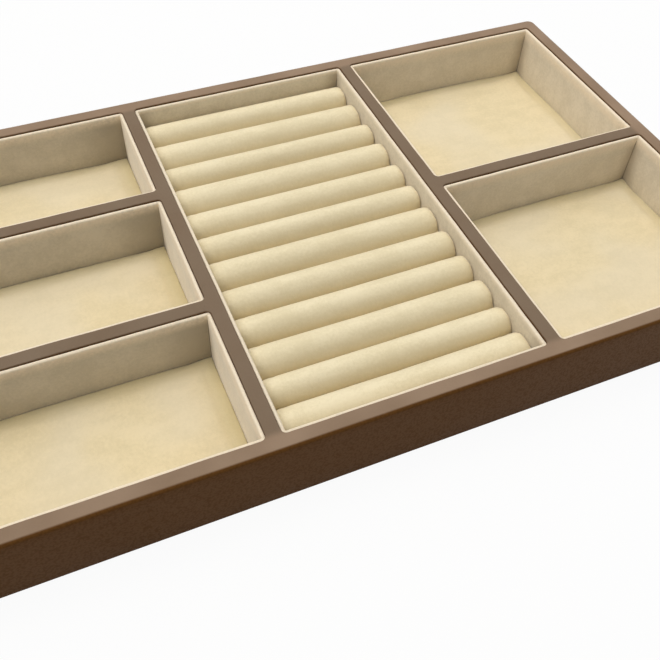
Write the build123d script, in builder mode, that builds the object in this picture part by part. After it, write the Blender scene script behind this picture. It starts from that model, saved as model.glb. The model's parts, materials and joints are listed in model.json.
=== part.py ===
from build123d import *
import os

# A jewelry tray: a board frame under leatherette, with five velvet-lined wells
# and a lift-out bank of ring rolls in the middle one.
# Lengths are millimetres. X runs along the long side to the right, Y to the back
# and Z up, and the origin is the centre of the underside.

os.makedirs("parts", exist_ok=True)

# Layout, measured between the finished leatherette faces
left_column = 133.0
ring_column = 132.0
right_column = 133.0
well_run = 244.0
left_front_row = 77.0
left_middle_row = 77.2
right_front_row = 118.4
rail_width = 8.0
divider_width = 7.2
tray_height = 39.0
corner_radius = 4.5
top_edge_radius = 1.6
well_corner_radius = 2.5

# Leatherette
cover_thickness = 0.8
lip_depth = 8.0

# Base
cloth_thickness = 0.5
cloth_inset = 1.5
base_thickness = 4.0
rabbet_width = 3.0
dado_depth = 2.0

# Velvet liners
board_thickness = 2.2
rim_drop = 1.0
rim_radius = 0.9
inside_corner_radius = 0.6
pad_edge_thickness = 3.4
pad_crown_thickness = 4.8
pad_gap = 0.3
crown_run = 18.0

# Ring rolls
roll_width_shares = (0.98, 1.14, 0.95, 1.10, 1.02, 0.94, 1.05, 1.00, 0.96, 1.01, 0.87, 0.98)
roll_drop = 7.4
roll_gap = 0.2
roll_end_gap = 0.4
roll_end_radius = 3.5
roll_velvet_thickness = 0.9
insert_gap = 0.35
carrier_gap = 0.6
carrier_thickness = 2.5
ring_pad_thickness = 3.6

# How far the crown has risen, and how much of its run is left, from the pad's edge inwards
crown_rise_shares = (0.55, 0.85, 1.0)
crown_inset_shares = (0.06, 0.3, 1.0)

# Heights that follow
base_top = cloth_thickness + base_thickness
wood_top = tray_height - cover_thickness
rim_top = tray_height - rim_drop
lip_bottom = wood_top - lip_depth

# Spans in plan that follow
tray_width = (left_column + ring_column + right_column
              + 2 * rail_width + 2 * divider_width)
tray_depth = well_run + 2 * rail_width
left_x = (-tray_width / 2 + rail_width, -tray_width / 2 + rail_width + left_column)
ring_x = (left_x[1] + divider_width, left_x[1] + divider_width + ring_column)
right_x = (ring_x[1] + divider_width, ring_x[1] + divider_width + right_column)
inner_y = (-well_run / 2, well_run / 2)
left_front_y = (inner_y[0], inner_y[0] + left_front_row)
left_middle_y = (left_front_y[1] + divider_width,
                 left_front_y[1] + divider_width + left_middle_row)
left_rear_y = (left_middle_y[1] + divider_width, inner_y[1])
right_front_y = (inner_y[0], inner_y[0] + right_front_row)
right_rear_y = (right_front_y[1] + divider_width, inner_y[1])
inner_x = (left_x[0], right_x[1])

wells = {
    "front_left": (left_x, left_front_y),
    "middle_left": (left_x, left_middle_y),
    "rear_left": (left_x, left_rear_y),
    "ring": (ring_x, inner_y),
    "front_right": (right_x, right_front_y),
    "rear_right": (right_x, right_rear_y),
}


def grown(span, by):
    """A span made longer by the same length at both ends."""
    return (span[0] - by, span[1] + by)


def block(x, y, z, mode=Mode.ADD):
    """A box that fills three spans."""
    middle = ((x[0] + x[1]) / 2, (y[0] + y[1]) / 2, (z[0] + z[1]) / 2)
    with Locations(middle):
        Box(x[1] - x[0], y[1] - y[0], z[1] - z[0], mode=mode)


def save(piece, name):
    """Name a finished piece and write it out."""
    piece.part.label = name
    export_step(piece.part, f"parts/{name}.step")


# Divider boards, each housed by dado_depth in what carries its ends
housing = cover_thickness + dado_depth
divider_z = (base_top, wood_top)
dividers = {
    "left_divider": ((left_x[1], ring_x[0]), inner_y),
    "right_divider": ((ring_x[1], right_x[0]), inner_y),
    "left_front_cross_divider": (left_x, (left_front_y[1], left_middle_y[0])),
    "left_rear_cross_divider": (left_x, (left_middle_y[1], left_rear_y[0])),
    "right_cross_divider": (right_x, (right_front_y[1], right_rear_y[0])),
}
cross_names = [name for name in dividers if "cross" in name]


def divider_board(name):
    """The board inside a finished divider: thinner by its cover, longer by its housings."""
    x, y = dividers[name]
    if name in cross_names:
        return grown(x, housing), grown(y, -cover_thickness), divider_z
    return grown(x, -cover_thickness), grown(y, housing), divider_z


# Frame rails, mitred at the corners, rabbeted for the base and cut for the dividers
wood_x = grown((-tray_width / 2, tray_width / 2), -cover_thickness)
wood_y = grown((-tray_depth / 2, tray_depth / 2), -cover_thickness)
wood_inner_x = grown(inner_x, cover_thickness)
wood_inner_y = grown(inner_y, cover_thickness)
base_x = grown(wood_inner_x, rabbet_width)
base_y = grown(wood_inner_y, rabbet_width)
base_z = (cloth_thickness, base_top)


def rounded_slab(width, depth, radius, edge_radius, z):
    """A slab with rounded upright corners and a rounded top edge."""
    with BuildPart() as slab:
        with BuildSketch(Plane.XY.offset(z[0])):
            RectangleRounded(width, depth, radius)
        extrude(amount=z[1] - z[0])
        fillet(slab.faces().sort_by(Axis.Z)[-1].edges(), edge_radius)
    return slab.part


frame_form = rounded_slab(
    wood_x[1] - wood_x[0], wood_y[1] - wood_y[0], corner_radius - cover_thickness,
    top_edge_radius - cover_thickness, (cloth_thickness, wood_top))


def rail(outline):
    """One mitred rail, whose plan is a trapezium."""
    with BuildPart() as piece:
        add(frame_form)
        with BuildSketch(Plane.XY.offset(cloth_thickness)):
            with BuildLine():
                Polyline(*outline, close=True)
            make_face()
        extrude(amount=wood_top - cloth_thickness, mode=Mode.INTERSECT)
        block(base_x, base_y, base_z, Mode.SUBTRACT)
        for name in dividers:
            block(*divider_board(name), Mode.SUBTRACT)
    return piece


front_rail = rail([(wood_x[0], wood_y[0]), (wood_x[1], wood_y[0]),
                   (wood_inner_x[1], wood_inner_y[0]), (wood_inner_x[0], wood_inner_y[0])])
back_rail = rail([(wood_x[0], wood_y[1]), (wood_x[1], wood_y[1]),
                  (wood_inner_x[1], wood_inner_y[1]), (wood_inner_x[0], wood_inner_y[1])])
left_rail = rail([(wood_x[0], wood_y[0]), (wood_x[0], wood_y[1]),
                  (wood_inner_x[0], wood_inner_y[1]), (wood_inner_x[0], wood_inner_y[0])])
right_rail = rail([(wood_x[1], wood_y[0]), (wood_x[1], wood_y[1]),
                   (wood_inner_x[1], wood_inner_y[1]), (wood_inner_x[1], wood_inner_y[0])])
save(front_rail, "front_rail")
save(back_rail, "back_rail")
save(left_rail, "left_rail")
save(right_rail, "right_rail")

# Base panel in the rabbet, and the cloth glued under it and under the rails
with BuildPart() as base_panel:
    block(base_x, base_y, base_z)
save(base_panel, "base_panel")

with BuildPart() as base_cloth:
    with BuildSketch():
        RectangleRounded(tray_width - 2 * cloth_inset, tray_depth - 2 * cloth_inset,
                         corner_radius - cloth_inset)
    extrude(amount=cloth_thickness)
save(base_cloth, "base_cloth")

# Dividers. The two long ones are grooved for the ends of the cross dividers.
for name in dividers:
    with BuildPart() as divider:
        block(*divider_board(name))
        if name not in cross_names:
            for crossing in cross_names:
                block(*divider_board(crossing), Mode.SUBTRACT)
    save(divider, name)

# Leatherette: one sheet over the sides, the rounded top edge, the rails and the dividers,
# cut open over each well and turned down into it as a lip


def rounded_opening(x, y, radius, mode=Mode.ADD):
    """The outline of a well, or of something that lines it, with rounded corners."""
    with Locations(((x[0] + x[1]) / 2, (y[0] + y[1]) / 2)):
        RectangleRounded(x[1] - x[0], y[1] - y[0], radius, mode=mode)


with BuildPart() as leatherette_cover:
    add(rounded_slab(tray_width, tray_depth, corner_radius, top_edge_radius,
                     (cloth_thickness, tray_height)))
    add(frame_form, mode=Mode.SUBTRACT)
    for x, y in wells.values():
        with BuildSketch(Plane.XY.offset(wood_top)):
            rounded_opening(x, y, well_corner_radius)
        extrude(amount=cover_thickness, mode=Mode.SUBTRACT)
        with BuildSketch(Plane.XY.offset(lip_bottom)):
            rounded_opening(grown(x, cover_thickness), grown(y, cover_thickness),
                            well_corner_radius + cover_thickness)
            rounded_opening(x, y, well_corner_radius, Mode.SUBTRACT)
        extrude(amount=lip_depth)
save(leatherette_cover, "leatherette_cover")


def lining(x, y):
    """The four boards of a well as one ring, with rounded corners and a rounded rim."""
    with BuildPart() as ring:
        with BuildSketch(Plane.XY.offset(base_top)):
            rounded_opening(x, y, well_corner_radius)
            rounded_opening(grown(x, -board_thickness), grown(y, -board_thickness),
                            inside_corner_radius, Mode.SUBTRACT)
        extrude(amount=rim_top - base_top)
        fillet(ring.faces().sort_by(Axis.Z)[-1].edges(), rim_radius)
    return ring.part


def wall(ring, outline):
    """One velvet-covered board, mitred at both ends."""
    with BuildPart() as piece:
        add(ring)
        with BuildSketch(Plane.XY.offset(base_top)):
            with BuildLine():
                Polyline(*outline, close=True)
            make_face()
        extrude(amount=rim_top - base_top, mode=Mode.INTERSECT)
    return piece


def padded_floor(x, y):
    """A floor pad with a level crown and an edge that falls away."""
    crown = pad_crown_thickness - pad_edge_thickness
    with BuildPart() as piece:
        block(x, y, (base_top, base_top + pad_edge_thickness))
        levels = zip((0.0,) + crown_rise_shares[:-1], (0.0,) + crown_inset_shares[:-1],
                     crown_rise_shares, crown_inset_shares)
        for rise_from, inset_from, rise_to, inset_to in levels:
            for rise, inset in ((rise_from, inset_from), (rise_to, inset_to)):
                level = base_top + pad_edge_thickness + crown * rise
                width = x[1] - x[0] - 2 * crown_run * inset
                depth = y[1] - y[0] - 2 * crown_run * inset
                with BuildSketch(Plane.XY.offset(level)):
                    with Locations(((x[0] + x[1]) / 2, (y[0] + y[1]) / 2)):
                        Rectangle(width, depth)
            loft(ruled=True)
    return piece


for name, (x, y) in wells.items():
    ring = lining(x, y)
    inside_x = grown(x, -board_thickness)
    inside_y = grown(y, -board_thickness)
    boards = {
        "front": [(x[0], y[0]), (x[1], y[0]), (inside_x[1], inside_y[0]), (inside_x[0], inside_y[0])],
        "back": [(x[0], y[1]), (x[1], y[1]), (inside_x[1], inside_y[1]), (inside_x[0], inside_y[1])],
        "left": [(x[0], y[0]), (x[0], y[1]), (inside_x[0], inside_y[1]), (inside_x[0], inside_y[0])],
        "right": [(x[1], y[0]), (x[1], y[1]), (inside_x[1], inside_y[1]), (inside_x[1], inside_y[0])],
    }
    for side, outline in boards.items():
        save(wall(ring, outline), f"{name}_well_{side}_wall")
    if name != "ring":
        save(padded_floor(grown(inside_x, -pad_gap), grown(inside_y, -pad_gap)),
             f"{name}_well_floor_pad")

# Ring well: a flat pad that carries the lift-out insert
ring_inside_x = grown(ring_x, -board_thickness)
ring_inside_y = grown(inner_y, -board_thickness)
ring_pad_top = base_top + ring_pad_thickness
with BuildPart() as ring_pad:
    block(grown(ring_inside_x, -pad_gap), grown(ring_inside_y, -pad_gap), (base_top, ring_pad_top))
save(ring_pad, "ring_well_floor_pad")

carrier_top = ring_pad_top + carrier_thickness
with BuildPart() as carrier:
    block(grown(ring_inside_x, -carrier_gap), grown(ring_inside_y, -carrier_gap),
          (ring_pad_top, carrier_top))
save(carrier, "ring_insert_carrier")

# Ring rolls: strips with a half-round top and rounded ends, squeezed side by side on the carrier
roll_span_y = grown(ring_inside_y, -insert_gap)
mean_pitch = (roll_span_y[1] - roll_span_y[0] + roll_gap) / sum(roll_width_shares)
roll_x = grown(ring_inside_x, -roll_end_gap)
roll_top = tray_height - roll_drop


def strip(x, centre_y, width, top, end_radius):
    """A strip along X that stands on the carrier, its top half-round and its ends rounded."""
    half = width / 2
    shoulder = top - half
    with BuildPart() as piece:
        with BuildSketch(Plane.YZ.offset(x[0])):
            with BuildLine():
                Polyline((centre_y - half, shoulder), (centre_y - half, carrier_top),
                         (centre_y + half, carrier_top), (centre_y + half, shoulder))
                ThreePointArc((centre_y + half, shoulder), (centre_y, top), (centre_y - half, shoulder))
            make_face()
        extrude(amount=x[1] - x[0])
        ends = piece.faces().filter_by(Axis.X).edges()
        foot = ends.group_by(Axis.Z)[0]
        fillet([edge for edge in ends if edge not in foot], end_radius)
    return piece.part


core_parts = []
roll_back = roll_span_y[1]
for number, width_share in enumerate(roll_width_shares, 1):
    roll_width = width_share * mean_pitch - roll_gap
    centre = roll_back - roll_width / 2
    core = strip(grown(roll_x, -roll_velvet_thickness), centre,
                 roll_width - 2 * roll_velvet_thickness, roll_top - roll_velvet_thickness,
                 roll_end_radius - roll_velvet_thickness)
    with BuildPart() as roll:
        add(strip(roll_x, centre, roll_width, roll_top, roll_end_radius))
        add(core, mode=Mode.SUBTRACT)
    save(roll, f"ring_roll_{number:02d}")
    core_parts.append(core)
    roll_back -= roll_width + roll_gap

with BuildPart() as cores:
    add(core_parts)
save(cores, "ring_roll_cores")
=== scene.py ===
"""A velvet-lined jewelry tray: leatherette frame, lined wells and a bank of ring rolls.

Everything is in metres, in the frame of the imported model: X runs along the tray's long
side to the right, Y to its back and Z up, from the middle of the underside.
"""

import json
import logging
import math
from dataclasses import dataclass
from enum import Enum

import bmesh
import bpy
import numpy as np
from mathutils import Matrix, Vector
from mathutils.geometry import delaunay_2d_cdt

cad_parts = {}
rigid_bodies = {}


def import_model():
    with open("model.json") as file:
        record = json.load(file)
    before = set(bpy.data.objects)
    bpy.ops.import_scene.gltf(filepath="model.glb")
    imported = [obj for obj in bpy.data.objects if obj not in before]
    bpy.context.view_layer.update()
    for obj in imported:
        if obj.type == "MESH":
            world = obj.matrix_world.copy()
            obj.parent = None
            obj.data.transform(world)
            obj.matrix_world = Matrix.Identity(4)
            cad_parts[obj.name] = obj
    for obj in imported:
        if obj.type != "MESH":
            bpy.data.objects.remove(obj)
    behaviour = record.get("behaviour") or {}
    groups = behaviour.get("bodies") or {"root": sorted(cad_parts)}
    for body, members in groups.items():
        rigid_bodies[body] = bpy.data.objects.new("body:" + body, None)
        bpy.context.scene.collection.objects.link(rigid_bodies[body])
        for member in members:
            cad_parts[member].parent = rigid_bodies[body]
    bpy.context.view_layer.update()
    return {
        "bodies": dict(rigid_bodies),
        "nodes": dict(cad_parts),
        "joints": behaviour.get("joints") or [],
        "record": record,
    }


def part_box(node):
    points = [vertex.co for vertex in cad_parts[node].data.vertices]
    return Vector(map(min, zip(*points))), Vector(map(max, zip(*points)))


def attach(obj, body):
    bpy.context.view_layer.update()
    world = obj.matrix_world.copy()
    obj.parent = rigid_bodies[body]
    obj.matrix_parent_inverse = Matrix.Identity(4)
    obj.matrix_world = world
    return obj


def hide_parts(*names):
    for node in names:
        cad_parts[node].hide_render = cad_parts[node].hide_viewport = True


log = logging.getLogger("jewelry_tray")

MERGE_DISTANCE = 1e-6
BEVEL_STEPS = 3
# Distances that carry the painted shade beside seams and walls.
FROM_SEAM = "from_seam"
# The attribute that carries the painted shade on the rolls' front sides.
FRONT_SHADE = "front_shade"
Colour = tuple[float, float, float]
Pair = tuple[float, float]


class Body(Enum):
    """The two bodies of the tray."""

    TRAY = "tray"
    INSERT = "ring_insert"


class Well(Enum):
    """The six wells, by the first word or words of their nodes' names."""

    FRONT_LEFT = "front_left"
    MIDDLE_LEFT = "middle_left"
    REAR_LEFT = "rear_left"
    RING = "ring"
    FRONT_RIGHT = "front_right"
    REAR_RIGHT = "rear_right"


LEFT_WELLS = (Well.FRONT_LEFT, Well.MIDDLE_LEFT, Well.REAR_LEFT)


class Side(Enum):
    """The four sides of a well."""

    FRONT = "front"
    BACK = "back"
    LEFT = "left"
    RIGHT = "right"


class Slot(Enum):
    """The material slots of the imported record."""

    LEATHERETTE = "leatherette"
    VELVET = "velvet"
    FOAM = "foam"


class Field:
    """A number that varies over a surface: Python's operators add Math nodes to its graph."""

    def __init__(self, graph: "Graph", socket: bpy.types.NodeSocket) -> None:
        """Wrap one output socket of a graph."""
        self.graph = graph
        self.socket = socket

    def _math(self, operation: str, first: "Field | float", second: "Field | float") -> "Field":
        """Add one Math node.

        Args:
            operation: The Math node's operation.
            first: Its first operand.
            second: Its second operand.

        Returns:
            The node's result.
        """
        made = self.graph.node("ShaderNodeMath", {"operation": operation}, {0: first, 1: second})
        return Field(self.graph, made.outputs[0])

    def __add__(self, other: "Field | float") -> "Field":
        """Return self + other."""
        return self._math("ADD", self, other)

    def __radd__(self, other: float) -> "Field":
        """Return other + self."""
        return self._math("ADD", other, self)

    def __sub__(self, other: "Field | float") -> "Field":
        """Return self - other."""
        return self._math("SUBTRACT", self, other)

    def __rsub__(self, other: float) -> "Field":
        """Return other - self."""
        return self._math("SUBTRACT", other, self)

    def __mul__(self, other: "Field | float") -> "Field":
        """Return self * other."""
        return self._math("MULTIPLY", self, other)

    def __rmul__(self, other: float) -> "Field":
        """Return other * self."""
        return self._math("MULTIPLY", other, self)

    def __abs__(self) -> "Field":
        """Return abs(self)."""
        return self._math("ABSOLUTE", self, 0.0)

    def __gt__(self, other: "Field | float") -> "Field":
        """Return 1 where self is over other, and else 0."""
        return self._math("GREATER_THAN", self, other)

    def varied(self, least_and_gain: Pair) -> "Field":
        """Return the least plus the gain times self, from a pair of both."""
        least, gain = least_and_gain
        return least + gain * self

    def ramp(self, low: float, high: float) -> "Field":
        """Rise smoothly from 0 at low to 1 at high.

        Args:
            low: Where the ramp starts.
            high: Where it ends.

        Returns:
            A number from 0 to 1.
        """
        made = self.graph.node("ShaderNodeMapRange", {"interpolation_type": "SMOOTHSTEP"},
                               {"Value": self, "From Min": low, "From Max": high})
        return Field(self.graph, made.outputs["Result"])


class Graph:
    """Adds nodes to a shader tree or a geometry tree."""

    def __init__(self, tree: bpy.types.NodeTree) -> None:
        """Work on one tree."""
        self.tree = tree

    def node(self, kind: str, settings: dict | None = None, inputs: dict | None = None) -> bpy.types.Node:
        """Add a node, set it up and feed it.

        Args:
            kind: The node's type.
            settings: Its own settings, set first.
            inputs: Values, sockets or fields by input name or number.

        Returns:
            The new node.
        """
        made = self.tree.nodes.new(kind)
        for name, value in (settings or {}).items():
            setattr(made, name, value)
        for key, value in (inputs or {}).items():
            source = value.socket if isinstance(value, Field) else value
            if isinstance(source, bpy.types.NodeSocket):
                self.tree.links.new(source, made.inputs[key])
            else:
                made.inputs[key].default_value = source
        return made

    def field(self, kind: str, output: str | int, settings: dict | None = None,
              inputs: dict | None = None) -> Field:
        """Add a node and wrap one of its outputs.

        Args:
            kind: The node's type.
            output: The output's name or number.
            settings: Its own settings.
            inputs: What feeds it.

        Returns:
            The output as a field.
        """
        return Field(self, self.node(kind, settings, inputs).outputs[output])

    def noise(self, place: bpy.types.NodeSocket, size: float, detail: float = 2.0,
              seed: float = 0.0) -> Field:
        """Soft noise with lumps about as large as size.

        Args:
            place: The coordinates.
            size: The lumps' size in metres.
            detail: How much finer noise is on top.
            seed: Which noise of many.

        Returns:
            A number about 0.5.
        """
        return self.field("ShaderNodeTexNoise", "Fac", {"noise_dimensions": "4D"},
                          {"Vector": place, "W": seed, "Scale": 1.0 / size, "Detail": detail})

    def blend(self, share: Field | float, first: Colour | bpy.types.NodeSocket,
              second: Colour | bpy.types.NodeSocket) -> bpy.types.NodeSocket:
        """Mix two colours.

        Args:
            share: How much of the second shows.
            first: A colour, or a socket that gives one.
            second: The other.

        Returns:
            The mixed colour's socket.
        """
        colours = [(*c, 1.0) if isinstance(c, tuple) else c for c in (first, second)]
        made = self.node("ShaderNodeMix", {"data_type": "RGBA"},
                         {0: share, 6: colours[0], 7: colours[1]})
        return made.outputs[2]


class Surface(Graph):
    """The graph of one material with one Principled shader."""

    def __init__(self, name: str) -> None:
        """Start a material.

        Args:
            name: The material's name.
        """
        self.material = bpy.data.materials.new(name)
        self.material.use_nodes = True
        super().__init__(self.material.node_tree)
        self.shader = self.tree.nodes["Principled BSDF"]
        self.place = self.node("ShaderNodeTexCoord").outputs["Object"]

    def stretched(self, scale: Colour) -> bpy.types.NodeSocket:
        """The object's coordinates, stretched along each axis by one over scale."""
        made = self.node("ShaderNodeMapping", None, {"Vector": self.place, "Scale": scale})
        return made.outputs["Vector"]

    def constants(self, **values: float | Colour) -> None:
        """Set the shader's own sockets, whose names have underscores for spaces.

        Args:
            values: A number or a colour for each socket.
        """
        for name, value in values.items():
            socket = self.shader.inputs[name.replace("_", " ")]
            socket.default_value = (*value, 1.0) if isinstance(value, tuple) else value

    def colour(self, socket: bpy.types.NodeSocket) -> None:
        """Feed the base colour."""
        self.tree.links.new(socket, self.shader.inputs["Base Color"])

    def roughness(self, value: Field) -> None:
        """Feed the roughness."""
        self.tree.links.new(value.socket, self.shader.inputs["Roughness"])

    def relief(self, *layers: tuple[Field, float]) -> None:
        """Stack bumps into the normal.

        Args:
            layers: Each layer's height, from 0 to 1, and its depth in metres.
        """
        below = None
        for height, depth in layers:
            inputs = {"Height": height, "Distance": depth, "Strength": 1.0}
            if below is not None:
                inputs["Normal"] = below
            below = self.node("ShaderNodeBump", None, inputs).outputs["Normal"]
        self.tree.links.new(below, self.shader.inputs["Normal"])


@dataclass(frozen=True)
class Leatherette:
    """Brown leatherette: pebbled and satin, its top paler with a painted sheen.

    The painted sheen stands in for the reflection of the light above. It rises between two
    levels in height, most of all on the rails, and stops in front of front_edge, where the
    front edge stays brown as painted shade.
    """

    name: str = "brown_leatherette"
    brown: Colour = (0.112, 0.047, 0.011)
    dark: Colour = (0.089, 0.037, 0.009)
    # The colours of the painted sheen on top and on the rails.
    top_sheen: Colour = (0.222, 0.163, 0.112)
    rail_sheen: Colour = (0.350, 0.246, 0.168)
    top_sheen_from: float = 0.0380
    top_sheen_to: float = 0.03896
    rail_from: Pair = (0.2030, 0.1190)
    rail_run: float = 0.0040
    front_edge: float = -0.1291
    front_edge_run: float = 0.0011
    highlight: Colour = (1.0, 0.84, 0.70)
    pebble: float = 0.0010
    pebble_depth: float = 0.000035
    pits_between: Pair = (0.35, 0.75)
    pit_share: float = 0.7
    cloud: float = 0.035
    top_sheen_in_clouds: Pair = (0.60, 0.50)
    rail_sheen_in_clouds: Pair = (0.45, 0.75)
    crease: float = 0.006
    crease_depth: float = 0.00005
    rough: float = 0.46
    rougher_in_pits: float = 0.12
    rougher_in_clouds: float = 0.08

    def material(self) -> bpy.types.Material:
        """Build the material.

        Returns:
            The new material.
        """
        s = Surface(self.name)
        pebbles = s.field("ShaderNodeTexVoronoi", "Distance", {"feature": "SMOOTH_F1"},
                          {"Vector": s.place, "Scale": 1.0 / self.pebble, "Smoothness": 0.6})
        clouds = s.noise(s.place, self.cloud, detail=3.0)
        creases = s.noise(s.place, self.crease, detail=4.0, seed=3.0)
        pits = pebbles.ramp(*self.pits_between)
        plain = s.blend(pits * self.pit_share, self.brown, self.dark)
        place = s.node("ShaderNodeSeparateXYZ", None, {0: s.place}).outputs
        across, along, height = (Field(s, place[axis]) for axis in ("X", "Y", "Z"))
        # Painted sheen: paler on top, most of all on the rails, standing in for reflected light.
        side_rail = abs(across).ramp(self.rail_from[0], self.rail_from[0] + self.rail_run)
        end_rail = abs(along).ramp(self.rail_from[1], self.rail_from[1] + self.rail_run)
        rail = 1.0 - (1.0 - side_rail) * (1.0 - end_rail)
        painted_sheen = s.blend(rail * clouds.varied(self.rail_sheen_in_clouds), self.top_sheen, self.rail_sheen)
        # The rounded front edge keeps its brown, as painted shade under the painted sheen.
        behind_edge = along.ramp(self.front_edge, self.front_edge + self.front_edge_run)
        sheen_on_top = height.ramp(self.top_sheen_from, self.top_sheen_to) * behind_edge
        s.colour(s.blend(sheen_on_top * clouds.varied(self.top_sheen_in_clouds), plain, painted_sheen))
        s.roughness(self.rough + self.rougher_in_pits * pits + self.rougher_in_clouds * clouds)
        s.relief((creases, self.crease_depth), (1.0 - pebbles, self.pebble_depth))
        s.constants(Specular_IOR_Level=0.07, Specular_Tint=self.highlight)
        return s.material


@dataclass(frozen=True)
class Velvet:
    """Cream velvet with a short nap that is brushed lighter and darker.

    It may also have a painted highlight towards a rim, painted shade beside a seam or wall,
    faded patches, and painted shade on a roll's front side. Each of these has a colour and a
    share, which is 0 for none.
    """

    name: str
    light: Colour
    shade: Colour
    # Painted highlight towards a rim, where more light falls on the velvet.
    rim_highlight: Colour = (0.93, 0.79, 0.60)
    rim_highlight_share: float = 0.0
    rim_highlight_from: float = 0.0295
    rim_highlight_to: float = 0.0375
    # Painted shade beside a seam or wall, darker towards the corners.
    seam_shade: Colour = (0.50, 0.42, 0.31)
    seam_shade_share: float = 0.0
    seam_shade_run: float = 0.010
    faded: Colour = (0.78, 0.695, 0.535)
    faded_share: float = 0.0
    faded_patch: float = 0.055
    # Painted shade on a roll's front side, which faces away from the lamps.
    front_shade: Colour = (0.60, 0.50, 0.31)
    front_shade_share: float = 0.0
    rim_highlight_in_tufts: Pair = (0.35, 1.1)
    seam_shade_in_patches: Pair = (0.7, 0.6)
    faded_between: Pair = (0.40, 0.62)
    nap_shares: tuple[float, ...] = (0.32, 0.22, 0.28, 0.18)
    nap_between: Pair = (0.39, 0.61)
    fibre: float = 0.00040
    tuft: float = 0.0014
    brushed: float = 0.012
    patch: float = 0.045
    fibre_depth: float = 0.00006
    tuft_depth: float = 0.00010
    sheen: float = 0.7
    sheen_tint: Colour = (1.0, 0.93, 0.82)
    brush_stretch: Colour = (1.0, 2.2, 1.0)
    rough_in_tufts: Pair = (0.86, 0.12)

    def material(self) -> bpy.types.Material:
        """Build the material.

        Returns:
            The new material.
        """
        s = Surface(self.name)
        fibres = s.noise(s.place, self.fibre)
        tufts = s.noise(s.place, self.tuft, detail=3.0, seed=1.0)
        brushed = s.noise(s.stretched(self.brush_stretch), self.brushed, detail=3.0, seed=2.0)
        patches = s.noise(s.place, self.patch, seed=4.0)
        layers = zip((brushed, patches, tufts, fibres), self.nap_shares)
        nap = sum(layer * share for layer, share in layers)
        cloth = s.blend(nap.ramp(*self.nap_between), self.shade, self.light)
        if self.faded_share:
            faded = s.noise(s.place, self.faded_patch, seed=6.0).ramp(*self.faded_between)
            cloth = s.blend(faded * self.faded_share, cloth, self.faded)
        # Painted shade in a lining's corners and along a pad's walls.
        if self.seam_shade_share:
            from_seam = s.field("ShaderNodeAttribute", "Fac", {"attribute_name": FROM_SEAM})
            seam_shade = (1.0 - from_seam.ramp(0.0, self.seam_shade_run)) * self.seam_shade_share
            cloth = s.blend(seam_shade * patches.varied(self.seam_shade_in_patches), cloth, self.seam_shade)
        # Painted shade on a roll's front side, which faces away from the lamps.
        if self.front_shade_share:
            down = s.field("ShaderNodeAttribute", "Fac", {"attribute_name": FRONT_SHADE})
            cloth = s.blend(down * self.front_shade_share, cloth, self.front_shade)
        # Painted highlight: lighter towards the rim, where more light falls.
        if self.rim_highlight_share:
            height = s.field("ShaderNodeSeparateXYZ", "Z", None, {0: s.place})
            rim = height.ramp(self.rim_highlight_from, self.rim_highlight_to) * tufts.varied(self.rim_highlight_in_tufts)
            cloth = s.blend(rim * self.rim_highlight_share, cloth, self.rim_highlight)
        s.colour(cloth)
        s.roughness(tufts.varied(self.rough_in_tufts))
        s.relief((tufts, self.tuft_depth), (fibres, self.fibre_depth))
        s.constants(Specular_IOR_Level=0.1, Sheen_Weight=self.sheen, Sheen_Roughness=0.4,
                    Sheen_Tint=self.sheen_tint)
        return s.material


LINING_VELVET = Velvet("lining_velvet", light=(0.825, 0.74, 0.60), shade=(0.71, 0.63, 0.495),
                       rim_highlight_share=1.0, seam_shade_share=0.70)
# A darker copy of the lining velvet for the ring well: painted shade from the rolls.
RING_SHADED_VELVET = Velvet("ring_shaded_lining_velvet", light=(0.80, 0.715, 0.565),
                            shade=(0.69, 0.61, 0.47), rim_highlight_share=0.8, rim_highlight_from=0.0350,
                            seam_shade_share=0.70)
# A darker copy of the lining velvet for the left wells' back boards: painted shade, with stronger painted
# shade in their corners.
SHADED_BACK_VELVET = Velvet("shaded_back_lining_velvet", light=(0.72, 0.645, 0.52),
                       shade=(0.61, 0.545, 0.43), rim_highlight_share=0.95, rim_highlight_from=0.0310,
                       seam_shade=(0.40, 0.345, 0.26), seam_shade_share=0.75, seam_shade_run=0.034)
PAD_VELVET = Velvet("pad_velvet", light=(0.82, 0.69, 0.445), shade=(0.735, 0.615, 0.38),
                    faded_share=0.4, seam_shade=(0.68, 0.59, 0.33), seam_shade_share=0.55,
                    seam_shade_run=0.013)
ROLL_VELVET = Velvet("roll_velvet", light=(0.89, 0.78, 0.54), shade=(0.79, 0.68, 0.445),
                     front_shade_share=0.75)


@dataclass(frozen=True)
class Suede:
    """Dark brown suede cloth under the tray."""

    name: str = "brown_suede_cloth"
    light: Colour = (0.085, 0.052, 0.036)
    dark: Colour = (0.045, 0.027, 0.019)
    fibre: float = 0.0006
    patch: float = 0.02
    mixed_between: Pair = (0.38, 0.62)
    depth: float = 0.00012
    rough_in_fibres: Pair = (0.85, 0.1)

    def material(self) -> bpy.types.Material:
        """Build the material.

        Returns:
            The new material.
        """
        s = Surface(self.name)
        fibres = s.noise(s.place, self.fibre, detail=3.0)
        patches = s.noise(s.place, self.patch, detail=3.0, seed=1.0)
        mixed = (0.5 * fibres + 0.5 * patches).ramp(*self.mixed_between)
        s.colour(s.blend(mixed, self.dark, self.light))
        s.roughness(fibres.varied(self.rough_in_fibres))
        s.relief((fibres, self.depth))
        s.constants(Specular_IOR_Level=0.1, Sheen_Weight=0.3, Sheen_Roughness=0.5)
        return s.material


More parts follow.
